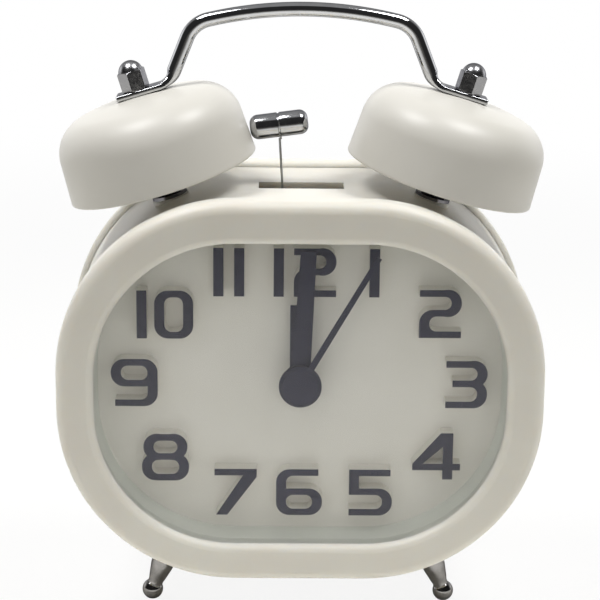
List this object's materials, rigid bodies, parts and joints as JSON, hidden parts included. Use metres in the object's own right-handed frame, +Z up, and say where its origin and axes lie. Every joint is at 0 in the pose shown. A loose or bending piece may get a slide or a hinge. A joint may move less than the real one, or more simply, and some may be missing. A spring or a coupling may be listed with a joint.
{
  "type": "twin bell alarm clock",
  "caption": "Rounded oblong quartz alarm clock on turned feet: raised-figure dial behind a clear lens, motor-driven hammer between bells and a bent-rod carrying handle.",
  "frame": {"origin": "on the floor under the middle of the clock's bounding box", "axes": "+X to the right as seen from the front, +Y from the dial to the back, +Z up"},
  "size_m": [0.1212, 0.063, 0.1518],
  "materials": {
    "case_cream": "satin cream moulding",
    "bell_cream": "satin cream enamel",
    "window": "clear moulded lens",
    "dial_white": "warm grey-white moulding",
    "charcoal": "dark satin print",
    "bright_chrome": "bright plated",
    "plain_steel": "bright zinc",
    "wheel_brass": "cut brass",
    "movement_white": "white moulding",
    "knob_dark": "dark moulding",
    "board_green": "solder mask",
    "coil_copper": "enamelled copper winding",
    "cell_grey": "printed steel can"
  },
  "bodies": {
    "case": {"front_bezel": "case_cream", "lens": "window", "dial_surround": "case_cream", "dial": "dial_white", "numeral_faces": "charcoal", "case_body": "case_cream", "rear_cover": "case_cream", "case_screws": "plain_steel", "movement_case": "movement_white", "movement_cover": "movement_white", "circuit_board": "board_green", "drive_coil": "coil_copper", "bell_left": "bell_cream", "bell_right": "bell_cream", "bell_post_left": "plain_steel", "bell_post_right": "plain_steel", "post_washers": "bright_chrome", "post_nuts": "plain_steel", "dome_nuts": "bright_chrome", "handle": "bright_chrome", "hammer_pivot": "plain_steel", "striker_frame": "plain_steel", "striker_motor": "plain_steel", "battery": "cell_grey", "contact_plus": "wheel_brass", "contact_minus": "wheel_brass", "foot_left": "bright_chrome", "foot_right": "bright_chrome", "foot_rear": "bright_chrome"},
    "second": {"second_hand": "charcoal", "second_wheel": "wheel_brass"},
    "minute": {"minute_hand": "charcoal", "minute_arbor": "wheel_brass"},
    "motion": {"motion_wheel": "wheel_brass"},
    "hour": {"hour_hand": "charcoal", "hour_wheel": "wheel_brass"},
    "time_set": {"time_knob": "knob_dark"},
    "alarm": {"alarm_hand": "charcoal", "alarm_wheel": "wheel_brass"},
    "alarm_set": {"alarm_knob": "knob_dark"},
    "hammer": {"hammer_head": "bright_chrome", "hammer_wire": "plain_steel", "hammer_lever": "movement_white"},
    "crank": {"crank_gear": "wheel_brass"},
    "motor_shaft": {"motor_pinion": "wheel_brass"},
    "switch": {"alarm_switch": "knob_dark"},
    "door": {"battery_door": "case_cream"}
  },
  "joints": [
    {"name": "second_turn", "type": "hinge", "parent": "case", "child": "second", "pos_m": [0, -0.0215, 0.0595], "axis": [0, 1, 0], "continuous": true},
    {"name": "minute_turn", "type": "hinge", "parent": "case", "child": "minute", "pos_m": [0, -0.0215, 0.0595], "axis": [0, 1, 0], "continuous": true},
    {"name": "motion_turn", "type": "hinge", "parent": "case", "child": "motion", "pos_m": [0.0083, -0.0075, 0.06817], "axis": [0, 1, 0], "continuous": true},
    {"name": "hour_turn", "type": "hinge", "parent": "case", "child": "hour", "pos_m": [0, -0.0215, 0.0595], "axis": [0, 1, 0], "continuous": true},
    {"name": "time_set_turn", "type": "hinge", "parent": "case", "child": "time_set", "pos_m": [0.02, 0.0185, 0.0655], "axis": [0, 1, 0], "continuous": true},
    {"name": "alarm_turn", "type": "hinge", "parent": "case", "child": "alarm", "pos_m": [0, -0.0215, 0.0595], "axis": [0, 1, 0], "continuous": true},
    {"name": "alarm_set_turn", "type": "hinge", "parent": "case", "child": "alarm_set", "pos_m": [-0.02, 0.0185, 0.0655], "axis": [0, 1, 0], "continuous": true},
    {"name": "hammer_swing", "type": "hinge", "parent": "case", "child": "hammer", "pos_m": [0, -0.0015, 0.0789], "axis": [0, 1, 0], "range_deg": [0, 15.5]},
    {"name": "crank_turn", "type": "hinge", "parent": "case", "child": "crank", "pos_m": [0, -0.0002, 0.06895], "axis": [0, 1, 0], "range_deg": [0, 180]},
    {"name": "motor_turn", "type": "hinge", "parent": "case", "child": "motor_shaft", "pos_m": [0.0105, -0.0002, 0.06895], "axis": [0, 1, 0], "range_deg": [-576, 0]},
    {"name": "switch_slide", "type": "slide", "parent": "case", "child": "switch", "axis": [1, 0, 0], "range_m": [0, 0.004]},
    {"name": "door_lift", "type": "slide", "parent": "case", "child": "door", "axis": [0, 1, 0], "range_m": [0, 0.015]}
  ],
  "couplings": [
    {"joint": "motion_turn", "follows": "minute_turn", "ratio": -0.33333},
    {"joint": "hour_turn", "follows": "minute_turn", "ratio": 0.083333},
    {"joint": "time_set_turn", "follows": "minute_turn", "ratio": 1},
    {"joint": "alarm_set_turn", "follows": "alarm_turn", "ratio": -3.2},
    {"joint": "crank_turn", "follows": "hammer_swing", "ratio": 11.613},
    {"joint": "motor_turn", "follows": "hammer_swing", "ratio": -37.161}
  ]
}
